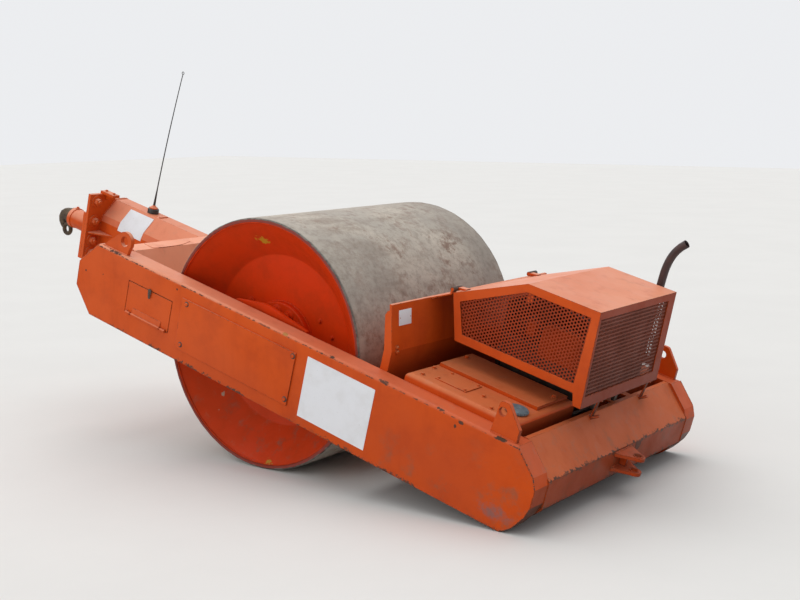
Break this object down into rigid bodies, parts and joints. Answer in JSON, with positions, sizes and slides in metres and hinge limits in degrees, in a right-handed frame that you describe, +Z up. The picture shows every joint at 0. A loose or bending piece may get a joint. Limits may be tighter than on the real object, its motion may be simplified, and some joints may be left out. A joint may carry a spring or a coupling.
{
  "type": "towed vibratory road roller",
  "caption": "Towed single-drum vibrating roller: smooth steel drum in a welded box frame, engine under a hinged grille hood, drawbar with tow eye.",
  "frame": {"origin": "centre of the parked machine's bounding box, at the ground it stands on", "axes": "+X forward, towards the tow eye; +Y to the left; +Z up"},
  "size_m": [4.8851, 1.954, 2.3886],
  "materials": {
    "orange_paint": "weathered gloss paint",
    "red_paint": "weathered gloss paint",
    "grille_paint": "satin paint",
    "drum_steel": "dusty worn steel",
    "dark_steel": "rough",
    "pipe_steel": "burnt and rusty",
    "engine_iron": "rough",
    "black_rubber": "matt",
    "grey_cap": "satin",
    "black_plastic": "matt"
  },
  "bodies": {
    "frame": {"side_beam_left": "orange_paint", "side_beam_right": "orange_paint", "front_beam": "orange_paint", "nose": "orange_paint", "nose_flange": "orange_paint", "coupling_plate": "orange_paint", "coupling_tube": "orange_paint", "hose_bracket": "orange_paint", "rear_beam": "orange_paint", "rear_clevis": "orange_paint", "bulkhead": "orange_paint", "belly_plate": "orange_paint", "engine": "engine_iron", "tank_left": "orange_paint", "tank_right": "orange_paint", "tank_lid_left": "orange_paint", "tank_lid_right": "orange_paint", "filler_cap": "grey_cap", "exhaust_pipe": "pipe_steel", "aerial_base": "black_plastic", "aerial_rod": "black_plastic", "front_lug_left": "orange_paint", "front_lug_right": "orange_paint", "rear_lug_left": "orange_paint", "rear_lug_right": "orange_paint", "bearing_bracket_left": "red_paint", "bearing_bracket_right": "red_paint", "rubber_mounts_left": "black_rubber", "rubber_mounts_right": "black_rubber", "bearing_cover_left": "orange_paint", "bearing_cover_right": "orange_paint", "hood_rest_left": "orange_paint", "hood_rest_right": "orange_paint"},
    "drum": {"drum_shell": "drum_steel", "drum_head_left": "red_paint", "drum_head_right": "red_paint", "hub_left": "red_paint", "hub_right": "red_paint"},
    "hood": {"hood_frame": "orange_paint", "hood_mesh_left": "grille_paint", "hood_mesh_right": "grille_paint", "hood_mesh_rear": "grille_paint"},
    "hatch_left": {"hatch_left": "orange_paint"},
    "hatch_right": {"hatch_right": "orange_paint"},
    "tow_eye": {"tow_eye": "dark_steel"}
  },
  "joints": [
    {"name": "drum_roll", "type": "hinge", "parent": "frame", "child": "drum", "pos_m": [-0.33453, 0, 0.75], "axis": [0, 1, 0], "continuous": true},
    {"name": "hood_lift", "type": "hinge", "parent": "frame", "child": "hood", "pos_m": [-1.47149, 0, 1.12975], "axis": [0, 1, 0], "range_deg": [0, 60]},
    {"name": "hatch_left_open", "type": "hinge", "parent": "frame", "child": "hatch_left", "pos_m": [0.45694, 0.969, 0.84023], "axis": [-0.9652, 0, -0.2616], "range_deg": [0, 170]},
    {"name": "hatch_right_open", "type": "hinge", "parent": "frame", "child": "hatch_right", "pos_m": [0.45694, -0.969, 0.84023], "axis": [0.9652, 0, 0.2616], "range_deg": [0, 170]},
    {"name": "tow_eye_swivel", "type": "hinge", "parent": "frame", "child": "tow_eye", "pos_m": [2.26851, 0, 1.3334], "axis": [0.9652, 0, 0.2616], "range_deg": [-90, 90]}
  ]
}
